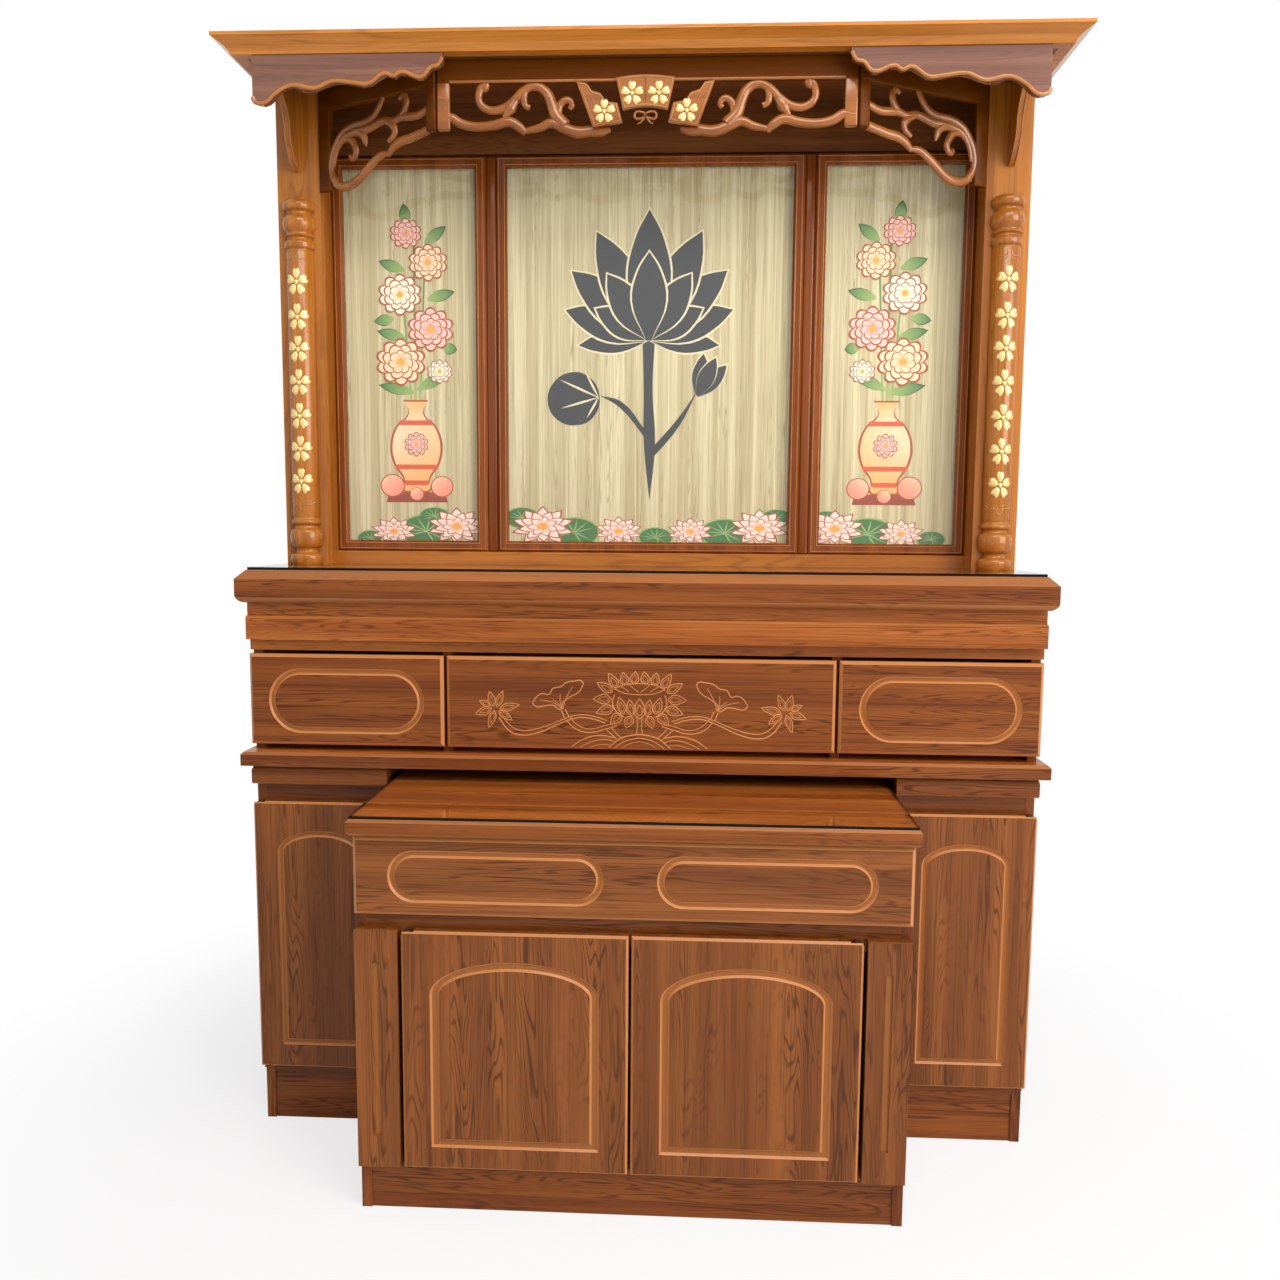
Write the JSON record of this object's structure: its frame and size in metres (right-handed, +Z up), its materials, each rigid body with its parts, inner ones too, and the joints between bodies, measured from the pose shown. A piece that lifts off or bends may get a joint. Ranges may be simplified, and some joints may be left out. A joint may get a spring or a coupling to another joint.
{
  "type": "altar cabinet",
  "caption": "Household altar cabinet in walnut laminate with a framed shrine, openwork canopy, drawers, door pedestals and a lower table that slides in under the top.",
  "frame": {"origin": "on the floor, under the middle of the whole cabinet with its lower table pulled out", "axes": "+Z up, front towards -Y, +X to the right of a person who faces the front"},
  "size_m": [1.602, 0.72, 2.113],
  "materials": {
    "laminate": "gloss",
    "lacquer": "gloss",
    "frame_wood": "gloss",
    "plywood": "satin",
    "picture_board": "satin",
    "clear_glass": "gloss",
    "runner_steel": "satin",
    "pivot_bronze": "satin"
  },
  "bodies": {
    "cabinet": {"top_slab": "laminate", "top_glass": "clear_glass", "front_fascia": "laminate", "upper_sides": "laminate", "drawer_dividers": "laminate", "back_panel": "plywood", "waist_board": "laminate", "drawer_runners": "runner_steel", "pedestal_outer_sides": "laminate", "pedestal_inner_sides": "laminate", "pedestal_floors": "laminate", "pedestal_plinths": "laminate", "pedestal_rails": "laminate", "pedestal_blocks": "laminate", "pedestal_pivots": "pivot_bronze", "posts": "lacquer", "shrine_walls": "lacquer", "niche_cheeks": "lacquer", "niche_back": "lacquer", "rear_panel": "plywood", "head_board": "lacquer", "base_rail": "laminate", "centre_picture_frame": "frame_wood", "side_picture_frames": "frame_wood", "picture_panes": "clear_glass", "picture_boards": "picture_board", "canopy_board": "lacquer", "cornice": "lacquer", "canopy_aprons": "lacquer", "centre_frieze": "lacquer", "side_friezes": "lacquer", "fan_plaques": "lacquer", "half_columns": "lacquer", "corbel_brackets": "lacquer"},
    "drawer_left": {"drawer_front_left": "laminate", "drawer_box_left": "plywood"},
    "drawer_centre": {"drawer_front_centre": "laminate", "drawer_box_centre": "plywood"},
    "drawer_right": {"drawer_front_right": "laminate", "drawer_box_right": "plywood"},
    "left_door": {"pedestal_door_left": "laminate"},
    "right_door": {"pedestal_door_right": "laminate"},
    "lower_table": {"lower_slab": "laminate", "lower_glass": "clear_glass", "lower_sides": "laminate", "lower_back": "plywood", "lower_shelf": "laminate", "lower_floor": "laminate", "lower_plinth": "laminate", "lower_pilasters": "laminate", "lower_pivots": "pivot_bronze", "lower_runners": "runner_steel"},
    "lower_drawer": {"lower_drawer_front": "laminate", "lower_drawer_box": "plywood"},
    "lower_left_door": {"lower_door_left": "laminate"},
    "lower_right_door": {"lower_door_right": "laminate"}
  },
  "joints": [
    {"name": "drawer_left_slide", "type": "slide", "parent": "cabinet", "child": "drawer_left", "axis": [0, -1, 0], "range_m": [0, 0.3]},
    {"name": "drawer_centre_slide", "type": "slide", "parent": "cabinet", "child": "drawer_centre", "axis": [0, -1, 0], "range_m": [0, 0.3]},
    {"name": "drawer_right_slide", "type": "slide", "parent": "cabinet", "child": "drawer_right", "axis": [0, -1, 0], "range_m": [0, 0.3]},
    {"name": "left_door_hinge", "type": "hinge", "parent": "cabinet", "child": "left_door", "pos_m": [-0.752, -0.063, 0.4], "axis": [0, 0, -1], "range_deg": [0, 95]},
    {"name": "right_door_hinge", "type": "hinge", "parent": "cabinet", "child": "right_door", "pos_m": [0.752, -0.063, 0.4], "axis": [0, 0, 1], "range_deg": [0, 95]},
    {"name": "lower_table_slide", "type": "slide", "parent": "cabinet", "child": "lower_table", "axis": [0, 1, 0], "range_m": [0, 0.27]},
    {"name": "lower_drawer_slide", "type": "slide", "parent": "lower_table", "child": "lower_drawer", "axis": [0, -1, 0], "range_m": [0, 0.25]},
    {"name": "lower_left_door_hinge", "type": "hinge", "parent": "lower_table", "child": "lower_left_door", "pos_m": [-0.386, -0.341, 0.3], "axis": [0, 0, -1], "range_deg": [0, 95]},
    {"name": "lower_right_door_hinge", "type": "hinge", "parent": "lower_table", "child": "lower_right_door", "pos_m": [0.386, -0.341, 0.3], "axis": [0, 0, 1], "range_deg": [0, 95]}
  ]
}
